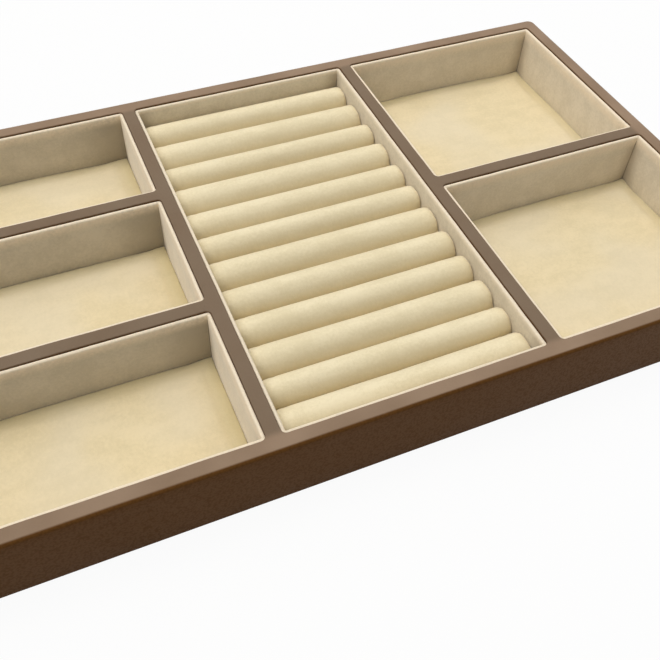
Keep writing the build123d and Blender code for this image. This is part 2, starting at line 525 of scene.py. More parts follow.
@dataclass(frozen=True)
class Fibreboard:
    """Raw fibreboard: pale brown, flecked with short fibres."""

    name: str = "raw_fibreboard"
    light: Colour = (0.50, 0.35, 0.21)
    dark: Colour = (0.30, 0.19, 0.11)
    fleck: float = 0.0012
    flecks_between: Pair = (0.35, 0.65)
    depth: float = 0.00008
    stretch: Colour = (0.3, 1.0, 1.0)
    rough_in_flecks: Pair = (0.75, 0.15)

    def material(self) -> bpy.types.Material:
        """Build the material.

        Returns:
            The new material.
        """
        s = Surface(self.name)
        flecks = s.noise(s.stretched(self.stretch), self.fleck, detail=4.0)
        s.colour(s.blend(flecks.ramp(*self.flecks_between), self.dark, self.light))
        s.roughness(flecks.varied(self.rough_in_flecks))
        s.relief((flecks, self.depth))
        s.constants(Specular_IOR_Level=0.2)
        return s.material


@dataclass(frozen=True)
class Foam:
    """Off-white open cell foam, inside the rolls."""

    name: str = "open_cell_foam"
    light: Colour = (0.78, 0.74, 0.62)
    dark: Colour = (0.50, 0.46, 0.36)
    cell: float = 0.0009
    cells_between: Pair = (0.1, 0.6)
    depth: float = 0.00025
    rough_in_cells: Pair = (0.9, 0.05)

    def material(self) -> bpy.types.Material:
        """Build the material.

        Returns:
            The new material.
        """
        s = Surface(self.name)
        cells = s.field("ShaderNodeTexVoronoi", "Distance", {"feature": "F1"},
                        {"Vector": s.place, "Scale": 1.0 / self.cell})
        s.colour(s.blend(cells.ramp(*self.cells_between), self.dark, self.light))
        s.roughness(cells.varied(self.rough_in_cells))
        s.relief((cells, self.depth))
        return s.material


@dataclass(frozen=True)
class Rect:
    """A rectangle in plan."""

    left: float
    right: float
    front: float
    back: float

    def grown(self, by: float) -> "Rect":
        """The same rectangle with every side moved outwards by the same length."""
        return Rect(self.left - by, self.right + by, self.front - by, self.back + by)

    def outline(self, radius: float, out: float, step: float, corner_steps: int) -> np.ndarray:
        """Points round the rectangle, anticlockwise, equally many however far out they run.

        Args:
            radius: The radius of the rectangle's own corners.
            out: How far outside the rectangle the points run.
            step: About how far apart the points of a straight side are.
            corner_steps: Spans in each rounded corner.

        Returns:
            An array of points.
        """
        centres = [(self.right, self.front, -90.0, -1, 1), (self.right, self.back, 0.0, -1, -1),
                   (self.left, self.back, 90.0, 1, -1), (self.left, self.front, 180.0, 1, 1)]
        corners = []
        for x, y, start, toward_x, toward_y in centres:
            turn = np.radians(start + np.linspace(0.0, 90.0, corner_steps + 1))
            centre = np.array([x + toward_x * radius, y + toward_y * radius])
            corners.append(centre + (radius + out) * np.stack([np.cos(turn), np.sin(turn)], 1))
        spans = (round((self.back - self.front) / step), round((self.right - self.left) / step))
        points = []
        for index, corner in enumerate(corners):
            ahead = corners[(index + 1) % len(corners)][0]
            count = max(2, spans[index % 2])
            share = np.linspace(0.0, 1.0, count + 1)[1:-1, None]
            points += [corner, corner[-1] + (ahead - corner[-1]) * share]
        return np.concatenate(points)

    def distance(self, points: np.ndarray, radius: float) -> np.ndarray:
        """How far points lie outside the rounded rectangle, negative inside it.

        Args:
            points: Places in plan, one a row.
            radius: The radius of the rectangle's corners.

        Returns:
            One length a place.
        """
        middle = np.array([(self.left + self.right) / 2, (self.front + self.back) / 2])
        half = np.array([(self.right - self.left) / 2, (self.back - self.front) / 2])
        over = np.abs(points - middle) - (half - radius)
        outside = np.linalg.norm(np.maximum(over, 0.0), axis=1)
        return outside + np.minimum(over.max(1), 0.0) - radius


@dataclass(frozen=True)
class Ripple:
    """Gentle unevenness of hand work: a few random plane waves, the same each run."""

    seed: int
    shortest: float
    longest: float
    waves: int = 7
    peak: float = 1.4

    def at(self, points: np.ndarray) -> np.ndarray:
        """The unevenness at points, about -1 to 1.

        Args:
            points: Places, one a row.

        Returns:
            One number a place.
        """
        source = np.random.default_rng(self.seed)
        total = np.zeros(len(points))
        for _ in range(self.waves):
            direction = source.normal(size=points.shape[1])
            direction /= np.linalg.norm(direction)
            length = source.uniform(self.shortest, self.longest)
            phase = source.uniform(0.0, 2.0 * math.pi)
            total += np.sin(2.0 * math.pi * (points @ direction) / length + phase)
        return total / math.sqrt(self.waves) / self.peak


def opening_of(well: Well) -> Rect:
    """The plan of one well between its lips, from the outer faces of its lining boards.

    Args:
        well: Which well.

    Returns:
        Its rectangle.
    """
    low, high = {}, {}
    for side in Side:
        low[side], high[side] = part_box(f"{well.value}_well_{side.value}_wall")
    return Rect(low[Side.LEFT].x, high[Side.RIGHT].x, low[Side.FRONT].y, high[Side.BACK].y)


def coordinates(mesh: bpy.types.Mesh) -> np.ndarray:
    """A mesh's vertices as an array.

    Args:
        mesh: The mesh.

    Returns:
        Its points, one a row.
    """
    flat = np.empty(len(mesh.vertices) * 3)
    mesh.vertices.foreach_get("co", flat)
    return flat.reshape(-1, 3)


def move_to(mesh: bpy.types.Mesh, points: np.ndarray) -> None:
    """Put a mesh's vertices at new places."""
    mesh.vertices.foreach_set("co", points.astype(np.float32).ravel())
    mesh.update()


def note(mesh: bpy.types.Mesh, name: str, values: np.ndarray) -> None:
    """Keep one value a point on the mesh, for its finish to read."""
    noted = mesh.attributes.new(name, "FLOAT", "POINT")
    noted.data.foreach_set("value", values)


def show(name: str, data: bpy.types.ID) -> bpy.types.Object:
    """Put a mesh, a curve or other data into the scene as an object at the origin.

    Args:
        name: The object's name.
        data: What it shows.

    Returns:
        The new object.
    """
    piece = bpy.data.objects.new(name, data)
    bpy.context.scene.collection.objects.link(piece)
    return piece


def show_shape(name: str, shape: bmesh.types.BMesh) -> bpy.types.Object:
    """Put a shape into the scene as an object with a mesh of the same name.

    Args:
        name: The name of both.
        shape: The shape, which is freed.

    Returns:
        The new object.
    """
    data = bpy.data.meshes.new(name)
    shape.to_mesh(data)
    shape.free()
    return show(name, data)


def rounded_block(name: str, middle: Vector, size: Vector, radius: float,
                  only_top: bool) -> bpy.types.Object:
    """Build a block with rounded edges.

    Args:
        name: The piece's name.
        middle: Its middle.
        size: Its size along each axis.
        radius: How round its edges are.
        only_top: True where only the edges of its top are round.

    Returns:
        The new piece.
    """
    block = bmesh.new()
    bmesh.ops.create_cube(block, size=1.0)
    stretch = Matrix.Translation(middle) @ Matrix.Diagonal((*size, 1.0))
    bmesh.ops.transform(block, matrix=stretch, verts=block.verts)
    edges = [e for e in block.edges
             if not only_top or all(v.co.z > middle.z for v in e.verts)]
    bmesh.ops.bevel(block, geom=edges, offset=radius, segments=BEVEL_STEPS, affect="EDGES",
                    profile=0.5)
    return show_shape(name, block)


def baked(piece: bpy.types.Object, name: str) -> bpy.types.Object:
    """Replace an object by the plain mesh that its modifiers make.

    Args:
        piece: The object with its modifiers, which is removed.
        name: The new object's name.

    Returns:
        The new object.
    """
    graph = bpy.context.evaluated_depsgraph_get()
    mesh = bpy.data.meshes.new_from_object(piece.evaluated_get(graph), depsgraph=graph)
    bpy.data.objects.remove(piece)
    mesh.name = name
    return show(name, mesh)


def soften(piece: bpy.types.Object, sharp_from: float) -> None:
    """Shade a piece smooth, but for its sharp edges.

    Args:
        piece: The piece.
        sharp_from: The least turn of a sharp edge, in degrees.
    """
    mesh = piece.data
    mesh.shade_smooth()
    mesh.set_sharp_from_angle(angle=math.radians(sharp_from))


def dress(piece: bpy.types.Object, finish: bpy.types.Material) -> None:
    """Give a piece one finish all over."""
    piece.data.materials.clear()
    piece.data.materials.append(finish)


def settle(piece: bpy.types.Object, body: Body, slot: Slot, *nodes: str) -> None:
    """Fix a finished piece to its body.

    Args:
        piece: The piece.
        body: What it moves with.
        slot: The record's slot; not used.
        nodes: The nodes that it stands for.
    """
    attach(piece, body.value)
    if nodes:
        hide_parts(*nodes)
    log.info("%s: %d faces, on %s", piece.name, len(piece.data.polygons), body.value)


@dataclass
class Cover:
    """The leatherette sheet over the frame: its top, its outer sides and the lips in the wells."""

    finish: bpy.types.Material
    thickness: float = 0.0008
    corner_radius: float = 0.0045
    edge_radius: float = 0.0016
    well_radius: float = 0.0025
    well_edge_radius: float = 0.0006
    lip_depth: float = 0.008
    step: float = 0.003
    corner_steps: int = 8
    edge_steps: int = 6
    side_steps: int = 9
    sag: float = 0.00010
    sag_ripple: Ripple = Ripple(13, 0.015, 0.050)
    waver: float = 0.00013
    waver_ripples: tuple[Ripple, Ripple] = (Ripple(11, 0.018, 0.060), Ripple(12, 0.018, 0.060))
    sharp_from: float = 60.0

    def build(self) -> bpy.types.Object:
        """Build the sheet.

        Returns:
            The finished piece.
        """
        low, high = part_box("leatherette_cover")
        outer = Rect(low.x, high.x, low.y, high.y)
        wells = [opening_of(well) for well in Well]
        mesh = bmesh.new()
        self._top(mesh, outer, wells, high.z)
        self._outside(mesh, outer, low.z, high.z)
        for well in wells:
            self._lip(mesh, well, high.z)
        bmesh.ops.remove_doubles(mesh, verts=mesh.verts, dist=MERGE_DISTANCE)
        bmesh.ops.recalc_face_normals(mesh, faces=mesh.faces)
        piece = show_shape("leatherette_sheet", mesh)
        move_to(piece.data, self._uneven(coordinates(piece.data), high.z))
        shell = piece.modifiers.new("thickness", "SOLIDIFY")
        shell.thickness = self.thickness
        shell.offset = -1.0
        piece = baked(piece, "leatherette_sheet")
        dress(piece, self.finish)
        soften(piece, self.sharp_from)
        return piece

    def _uneven(self, points: np.ndarray, top: float) -> np.ndarray:
        """Let the sheet waver a little sideways at the wells, and sag a little on top.

        Args:
            points: The sheet's points, one a row.
            top: The level of its flat top.

        Returns:
            The moved points.
        """
        moved = points.copy()
        upper = points[:, 2] > top - self.lip_depth
        reach = np.abs(points[:, :2])
        inner = upper & (reach < reach.max(0) - self.corner_radius).all(1)
        for axis, ripple in enumerate(self.waver_ripples):
            moved[:, axis] += np.where(inner, self.waver * ripple.at(points), 0.0)
        sag = self.sag * (1.0 + self.sag_ripple.at(points)) / 2
        moved[:, 2] -= np.where(upper, sag, 0.0)
        return moved

    def _top(self, mesh: bmesh.types.BMesh, outer: Rect, wells: list[Rect], top: float) -> None:
        """Lay the flat of the lattice, in triangles between the rounded edges.

        Args:
            mesh: Where the triangles go.
            outer: The sheet in plan.
            wells: Its openings in plan.
            top: The level of the flat.
        """
        rings = [outer.outline(self.corner_radius, -self.edge_radius, self.step, self.corner_steps)]
        for well in wells:
            rings.append(well.outline(self.well_radius, self.well_edge_radius, self.step,
                                      self.corner_steps))
        points, edges = [], []
        for ring in rings:
            first = len(points)
            points += [Vector(p) for p in ring]
            edges += [(first + i, first + (i + 1) % len(ring)) for i in range(len(ring))]
        points += [Vector(p) for p in self._bars(outer, wells)]
        flat, _, triangles, *_ = delaunay_2d_cdt(points, edges, [], 0, MERGE_DISTANCE)
        plan = np.array([tuple(p) for p in flat])
        middles = np.array([plan[list(t)].mean(0) for t in triangles])
        keep = outer.distance(middles, self.corner_radius) < -self.edge_radius
        for well in wells:
            keep &= well.distance(middles, self.well_radius) > self.well_edge_radius
        made = [mesh.verts.new((x, y, top)) for x, y in plan]
        for triangle, kept in zip(triangles, keep):
            if kept:
                mesh.faces.new([made[i] for i in triangle])
        bmesh.ops.delete(mesh, geom=[v for v in mesh.verts if not v.link_faces], context="VERTS")

    def _bars(self, outer: Rect, wells: list[Rect]) -> np.ndarray:
        """Points along the middles of the rails and dividers.

        Args:
            outer: The sheet in plan.
            wells: Its openings in plan.

        Returns:
            Places in plan, one a row.
        """
        xs = np.arange(outer.left, outer.right, self.step)
        ys = np.arange(outer.front, outer.back, self.step)
        grid = np.stack(np.meshgrid(xs, ys), -1).reshape(-1, 2)
        clear = outer.distance(grid, self.corner_radius) < -self.edge_radius - self.step / 2
        for well in wells:
            clear &= well.distance(grid, self.well_radius) > self.well_edge_radius + self.step / 2
        return grid[clear]

    def _strip(self, mesh: bmesh.types.BMesh, rings: list[np.ndarray], flip: bool) -> None:
        """Join rings of points into a band of quads.

        Args:
            mesh: Where the band goes.
            rings: Rings with equally many points each.
            flip: True where the band's outside is towards the rings' middle.
        """
        rows = [[mesh.verts.new(p) for p in ring] for ring in rings]
        for upper, lower in zip(rows, rows[1:]):
            for i in range(len(upper)):
                j = (i + 1) % len(upper)
                quad = [upper[i], lower[i], lower[j], upper[j]]
                mesh.faces.new(quad[::-1] if flip else quad)

    def _outside(self, mesh: bmesh.types.BMesh, outer: Rect, bottom: float, top: float) -> None:
        """Round the top edge over and bring the sides down.

        Args:
            mesh: Where the sides go.
            outer: The sheet in plan.
            bottom: The sides' lowest level.
            top: The level of the flat top.
        """
        rings = []
        for turn in np.linspace(0.0, math.pi / 2, self.edge_steps + 1):
            inset = self.edge_radius * (1.0 - math.sin(turn))
            level = top - self.edge_radius * (1.0 - math.cos(turn))
            rings.append(self._ring(outer, self.corner_radius, -inset, level))
        for level in np.linspace(top - self.edge_radius, bottom, self.side_steps + 1)[1:]:
            rings.append(self._ring(outer, self.corner_radius, 0.0, level))
        self._strip(mesh, rings, False)

    def _lip(self, mesh: bmesh.types.BMesh, well: Rect, top: float) -> None:
        """Round the edge of one well over and bring the lip down into it.

        Args:
            mesh: Where the lip goes.
            well: The opening in plan.
            top: The level of the flat top.
        """
        rings = []
        for turn in np.linspace(0.0, math.pi / 2, self.edge_steps + 1):
            out = self.well_edge_radius * (1.0 - math.sin(turn))
            level = top - self.well_edge_radius * (1.0 - math.cos(turn))
            rings.append(self._ring(well, self.well_radius, out, level))
        rings.append(self._ring(well, self.well_radius, 0.0, top - self.thickness - self.lip_depth))
        self._strip(mesh, rings, True)

    def _ring(self, rect: Rect, radius: float, out: float, level: float) -> np.ndarray:
        """A rounded rectangle's points at one level, some way outside or inside it."""
        plan = rect.outline(radius, out, self.step, self.corner_steps)
        return np.column_stack([plan, np.full(len(plan), level)])


class SweptShape:
    """A geometry tree that sweeps an upright section, its top at its lowest Y, along a path."""

    def __init__(self, name: str, sizes: tuple[str, ...]) -> None:
        """Start the tree.

        Args:
            name: The tree's name.
            sizes: The names of its inputs that are numbers.
        """
        self.tree = bpy.data.node_groups.new(name, "GeometryNodeTree")
        faces = self.tree.interface
        faces.new_socket("Path", in_out="INPUT", socket_type="NodeSocketGeometry")
        for size in sizes:
            faces.new_socket(size, in_out="INPUT", socket_type="NodeSocketFloat")
        faces.new_socket("Finish", in_out="INPUT", socket_type="NodeSocketMaterial")
        faces.new_socket("Piece", in_out="OUTPUT", socket_type="NodeSocketGeometry")
        self.graph = Graph(self.tree)
        self.given = self.graph.node("NodeGroupInput").outputs

    def _chain(self, kind: str, inputs: dict, **settings: str) -> bpy.types.NodeSocket:
        """Add a node and return its first output."""
        return self.graph.node(kind, settings, inputs).outputs[0]

    def _section(self, width: bpy.types.NodeSocket) -> bpy.types.NodeSocket:
        """Draw a rectangle as high as the Height input, standing on the path.

        Args:
            width: The width.

        Returns:
            The rectangle's curve.
        """
        flat = self._chain("GeometryNodeCurvePrimitiveQuadrilateral",
                           {"Width": width, "Height": self.given["Height"]})
        lift = self._chain("ShaderNodeCombineXYZ",
                           {"Y": Field(self.graph, self.given["Height"]) * -0.5})
        return self._chain("GeometryNodeTransform", {"Geometry": flat, "Translation": lift})

    def _sweep(self, section: bpy.types.NodeSocket, radius: Field | bpy.types.NodeSocket,
               steps: int) -> bpy.types.NodeSocket:
        """Round a section's corners and sweep it along the path, with its ends closed.

        Args:
            section: The section's curve.
            radius: The radius of its corners.
            steps: Points in each rounded corner.

        Returns:
            The swept mesh.
        """
        rounded = self._chain("GeometryNodeFilletCurve",
                              {"Curve": section, "Count": steps, "Radius": radius}, mode="POLY")
        upright = self._chain("GeometryNodeSetCurveNormal", {"Curve": self.given["Path"]},
                              mode="Z_UP")
        return self._chain("GeometryNodeCurveToMesh",
                           {"Curve": upright, "Profile Curve": rounded, "Fill Caps": True})

    def _give(self, swept: bpy.types.NodeSocket) -> None:
        """Make the sweep real, give it its finish and pass it out.

        Args:
            swept: The swept mesh.
        """
        real = self._chain("GeometryNodeRealizeInstances", {"Geometry": swept})
        done = self._chain("GeometryNodeSetMaterial",
                           {"Geometry": real, "Material": self.given["Finish"]})
        self.graph.node("NodeGroupOutput", None, {"Piece": done})


class BoardShape(SweptShape):
    """The geometry tree of a velvet-covered board, made a little uneven."""

    RIM_STEPS = 5
    NOISE_MIDDLE = (0.5, 0.5, 0.5)

    def __init__(self) -> None:
        """Build the tree."""
        super().__init__("velvet_board", ("Thickness", "Height", "Rim Radius", "Unevenness",
                                          "Lump Size", "Seed"))
        g, given = self.graph, self.given
        swept = self._sweep(self._section(given["Thickness"]), given["Rim Radius"], self.RIM_STEPS)
        place = self._chain("GeometryNodeInputPosition", {})
        size = self._chain("ShaderNodeMath", {0: 1.0, 1: given["Lump Size"]}, operation="DIVIDE")
        lumps = g.node("ShaderNodeTexNoise", {"noise_dimensions": "4D"},
                       {"Vector": place, "W": given["Seed"], "Scale": size, "Detail": 1.0})
        middle = self._chain("ShaderNodeVectorMath",
                             {0: lumps.outputs["Color"], 1: self.NOISE_MIDDLE},
                             operation="SUBTRACT")
        shift = self._chain("ShaderNodeVectorMath", {0: middle, "Scale": given["Unevenness"]},
                            operation="SCALE")
        self._give(self._chain("GeometryNodeSetPosition", {"Geometry": swept, "Offset": shift}))


class RollShape(SweptShape):
    """The geometry tree of a roll with a half-round top."""

    TOP_STEPS = 8
    ALMOST_HALF = 0.499

    def __init__(self) -> None:
        """Build the tree."""
        super().__init__("ring_roll", ("Width", "Height", "Foot Radius"))
        width, height, foot = (Field(self.graph, self.given[n])
                               for n in ("Width", "Height", "Foot Radius"))
        place = self._chain("GeometryNodeInputPosition", {})
        level = self.graph.field("ShaderNodeSeparateXYZ", "Y", None, {0: place})
        at_top = height * -0.5 > level
        radius = foot + at_top * (width * self.ALMOST_HALF - foot)
        self._give(self._sweep(self._section(self.given["Width"]), radius, self.TOP_STEPS))


def sweep(name: str, tree: bpy.types.NodeTree, path: np.ndarray, girth: np.ndarray | None,
          values: dict) -> bpy.types.Object:
    """Run a geometry tree on a path and keep the result as a plain mesh.

    Args:
        name: The piece's name.
        tree: The geometry tree.
        path: The path's points.
        girth: How thick the sweep is at each point, as a share, or None for even.
        values: The tree's inputs by name.

    Returns:
        The swept piece.
    """
    line = bpy.data.curves.new(name + "_path", "CURVE")
    line.dimensions = "3D"
    spline = line.splines.new("POLY")
    spline.points.add(len(path) - 1)
    spline.points.foreach_set("co", np.column_stack([path, np.ones(len(path))]).ravel())
    if girth is not None:
        spline.points.foreach_set("radius", girth)
    piece = show(name + "_path", line)
    shape = piece.modifiers.new("shape", "NODES")
    shape.node_group = tree
    for item in tree.interface.items_tree:
        if item.in_out == "INPUT" and item.name in values:
            shape[item.identifier] = values[item.name]
    piece = baked(piece, name)
    bpy.data.curves.remove(line)
    return piece


@dataclass
class Lining:
    """The four velvet-covered boards that line one well."""

    well: Well
    finish: bpy.types.Material
    back_finish: bpy.types.Material
    shape: BoardShape
    thickness: float = 0.0022
    corner_radius: float = 0.0025
    rim_radius: float = 0.0007
    unevenness: float = 0.00030
    lump_size: float = 0.011
    step: float = 0.0025
    corner_steps: int = 8
    clearance: float = 0.00004
    seam_gap: float = 0.00024
    seam_run: float = 0.0026
    seam_depth: float = 0.004
    shoulder: float = 0.0008
    shoulder_drop: float = 0.0036
    shoulder_end: float = 0.0020
    seam_reach: float = 0.010
    sharp_from: float = 50.0
    cuts: tuple[float, ...] = (0.0009, 0.0013, 0.0018, 0.0024, 0.0030, 0.0036, 0.0110, 0.0200)

    def build(self) -> list[bpy.types.Object]:
        """Build the boards.

        Returns:
            The four finished pieces.
        """
        return [self._board(side) for side in Side]

    def _board(self, side: Side) -> bpy.types.Object:
        """Sweep one board from mitre to mitre.

        Args:
            side: The board's side of the well.

        Returns:
            The finished piece.
        """
        node = f"{self.well.value}_well_{side.value}_wall"
        low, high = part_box(node)
        path = self._path(side, low.z)
        piece = sweep(f"{self.well.value}_{side.value}_velvet_board", self.shape.tree, path, None, {
            "Thickness": self.thickness - 2 * self.clearance,
            "Height": high.z - low.z,
            "Rim Radius": self.rim_radius,
            "Unevenness": self.unevenness,
            "Lump Size": self.lump_size,
            "Seed": float(list(Well).index(self.well)),
            "Finish": self.back_finish if side is Side.BACK else self.finish,
        })
        self._cut(piece.data, high.z)
        self._round_shoulder(piece.data, high.z)
        self._open_seams(piece.data, high.z)
        self._note_seams(piece.data)
        soften(piece, self.sharp_from)
        settle(piece, Body.TRAY, Slot.VELVET, node)
        return piece

    def _cut(self, mesh: bpy.types.Mesh, rim: float) -> None:
        """Cut the tall faces across at some depths below the rim, so that they can bend.

        Args:
            mesh: The board.
            rim: The rim's level.
        """
        work = bmesh.new()
        work.from_mesh(mesh)
        for depth in self.cuts:
            everything = work.verts[:] + work.edges[:] + work.faces[:]
            bmesh.ops.bisect_plane(work, geom=everything, dist=MERGE_DISTANCE,
                                   plane_co=(0.0, 0.0, rim - depth), plane_no=(0.0, 0.0, 1.0))
        work.to_mesh(mesh)
        work.free()

    def _round_shoulder(self, mesh: bpy.types.Mesh, rim: float) -> None:
        """Draw the inner face back under the rim in a quarter of an ellipse.

        Args:
            mesh: The board.
            rim: The rim's level.
        """
        rect = opening_of(self.well)
        points = coordinates(mesh)
        up = 1.0 - np.clip((rim - points[:, 2]) / self.shoulder_drop, 0.0, 1.0)
        back = self.shoulder * (1.0 - np.sqrt(1.0 - up ** 2))
        for axis, low, high in ((0, rect.left, rect.right), (1, rect.front, rect.back)):
            deep = np.minimum(points[:, axis] - low, high - points[:, axis])
            outwards = np.where(points[:, axis] < (low + high) / 2, -1.0, 1.0)
            face = np.clip(deep / self.thickness, 0.0, 1.0)
            face *= np.clip(1.0 - (deep - self.thickness) / self.shoulder_end, 0.0, 1.0)
            points[:, axis] += outwards * back * face
        move_to(mesh, points)

    def _open_seams(self, mesh: bpy.types.Mesh, rim: float) -> None:
        """Round the board off at its mitres, more and more below the rim.

        Args:
            mesh: The board.
            rim: The rim's level.
        """
        rect = opening_of(self.well)
        points = coordinates(mesh)
        middle = points.mean(0)
        deep = np.clip((rim - points[:, 2]) / self.seam_depth, 0.0, 1.0)
        for x in (rect.left, rect.right):
            for y in (rect.front, rect.back):
                inward = np.array([rect.left + rect.right - 2 * x, rect.front + rect.back - 2 * y])
                across = np.array([np.sign(inward[0]), -np.sign(inward[1])]) / math.sqrt(2.0)
                across *= np.sign((middle[:2] - (x, y)) @ across)
                away = (points[:, :2] - (x, y)) @ across
                reach = np.abs(points[:, :2] - (x, y))
                near = reach.sum(1) < self.seam_reach
                face = np.clip(reach.min(1) / self.thickness, 0.0, 1.0)
                pull = self.seam_gap * deep * face * near
                pull *= np.exp(-np.maximum(away, 0.0) / self.seam_run)
                points[:, :2] += pull[:, None] * across
        move_to(mesh, points)

    def _note_seams(self, mesh: bpy.types.Mesh) -> None:
        """Keep each point's distance from the nearest corner of the well, for the painted shade there.

        Args:
            mesh: The board.
        """
        rect = opening_of(self.well)
        points = coordinates(mesh)
        from_side = np.minimum(points[:, 0] - rect.left, rect.right - points[:, 0])
        from_end = np.minimum(points[:, 1] - rect.front, rect.back - points[:, 1])
        note(mesh, FROM_SEAM, np.maximum(from_side, from_end) - self.thickness)

    def _path(self, side: Side, level: float) -> np.ndarray:
        """The board's middle line in plan, with half of a rounded corner at each end.

        Args:
            side: The board's side of the well.
            level: The height at which it stands.

        Returns:
            The line's points, one a row.
        """
        rect = opening_of(self.well)
        middle = rect.grown(-self.thickness / 2)
        radius = self.corner_radius - self.thickness / 2
        starts = {Side.RIGHT: -90.0, Side.BACK: 0.0, Side.LEFT: 90.0, Side.FRONT: 180.0}
        turn = np.radians(starts[side] + np.linspace(45.0, 90.0, self.corner_steps + 1))
        ahead = turn + math.radians(45.0)
        corner_x = {-1: middle.left + radius, 1: middle.right - radius}
        corner_y = {-1: middle.front + radius, 1: middle.back - radius}
        ends = {Side.RIGHT: ((1, -1), (1, 1)), Side.BACK: ((1, 1), (-1, 1)),
                Side.LEFT: ((-1, 1), (-1, -1)), Side.FRONT: ((-1, -1), (1, -1))}[side]
        arcs = []
        for (sign_x, sign_y), angles in zip(ends, (turn, ahead)):
            centre = np.array([corner_x[sign_x], corner_y[sign_y]])
            arcs.append(centre + radius * np.stack([np.cos(angles), np.sin(angles)], 1))
        run = np.linalg.norm(arcs[1][0] - arcs[0][-1])
        share = np.linspace(0.0, 1.0, max(2, round(run / self.step)) + 1)[1:-1, None]
        straight = arcs[0][-1] + (arcs[1][0] - arcs[0][-1]) * share
        plan = np.concatenate([arcs[0], straight, arcs[1]])
        return np.column_stack([plan, np.full(len(plan), level)])


@dataclass
class Plumping:
    """Fills soft pieces with a cloth simulation, all of them in one run of frames."""

    pressure: float = 4.0
    frames: int = 20
    stiffness: float = 12.0
    mass: float = 0.25
    quality: int = 6
    bending: float = 0.4
    quick_share: float = 0.8

    def __post_init__(self) -> None:
        """Start with no pieces."""
        self.waiting: list[tuple[bpy.types.Object, float]] = []

    def add(self, piece: bpy.types.Object, voxel: float, most: float,
            pinned_below: float) -> bpy.types.Object:
        """Remesh a piece evenly and put it in line.

        Args:
            piece: The lean piece.
            voxel: The remesh's size.
            most: How far any point may move.
            pinned_below: The level under which the piece is glued down.

        Returns:
            The remeshed piece.
        """
        remesh = piece.modifiers.new("remesh", "REMESH")
        remesh.mode = "VOXEL"
        remesh.voxel_size = voxel
        piece = baked(piece, piece.name)
        glued = piece.vertex_groups.new(name="glued")
        low = np.flatnonzero(coordinates(piece.data)[:, 2] < pinned_below)
        glued.add(low.tolist(), 1.0, "REPLACE")
        self.waiting.append((piece, most))
        return piece

    def run(self) -> None:
        """Simulate every piece in line, cap how far its points went, and keep the result."""
        for piece, _ in self.waiting:
            self._add_cloth(piece)
        scene = bpy.context.scene
        for frame in range(1, self.frames + 1):
            scene.frame_set(frame)
        graph = bpy.context.evaluated_depsgraph_get()
        for piece, most in self.waiting:
            start = coordinates(piece.data)
            filled = coordinates(piece.evaluated_get(graph).data)
            step = filled - start
            length = np.linalg.norm(step, axis=1, keepdims=True)
            step *= np.minimum(1.0, most / np.maximum(length, MERGE_DISTANCE))
            piece.modifiers.clear()
            move_to(piece.data, start + step)
        scene.frame_set(1)

    def _add_cloth(self, piece: bpy.types.Object) -> None:
        """Make one piece a closed bag of cloth under pressure.

        Args:
            piece: The lean piece.
        """
        cloth = piece.modifiers.new("cloth", "CLOTH")
        made = cloth.settings
        made.quality = self.quality
        made.mass = self.mass
        made.tension_stiffness = self.stiffness
        made.compression_stiffness = self.stiffness
        made.shear_stiffness = self.stiffness / 2
        made.bending_stiffness = self.bending
        made.use_pressure = True
        made.uniform_pressure_force = self.pressure
        made.effector_weights.gravity = 0.0
        made.vertex_group_mass = "glued"
        cloth.point_cache.frame_end = self.frames


def finish_soft(piece: bpy.types.Object, smoothing: int, low: Vector, high: Vector,
                spare: Vector, sharp_from: float = 75.0) -> bpy.types.Object:
    """Smooth a filled piece, subdivide it once and flatten it where it presses on a neighbour.

    Args:
        piece: The filled piece.
        smoothing: How many passes of smoothing.
        low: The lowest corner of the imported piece.
        high: The highest corner.
        spare: How much more room it has on each side.
        sharp_from: Edges that turn by more than this many degrees stay sharp.

    Returns:
        The finished piece.
    """
    smooth = piece.modifiers.new("smooth", "SMOOTH")
    smooth.factor = 0.5
    smooth.iterations = smoothing
    finer = piece.modifiers.new("finer", "SUBSURF")
    finer.levels = 1
    finer.render_levels = 1
    piece.vertex_groups.clear()
    piece = baked(piece, piece.name)
    room = (np.array(low - spare), np.array(high + spare))
    move_to(piece.data, np.clip(coordinates(piece.data), *room))
    soften(piece, sharp_from)
    return piece


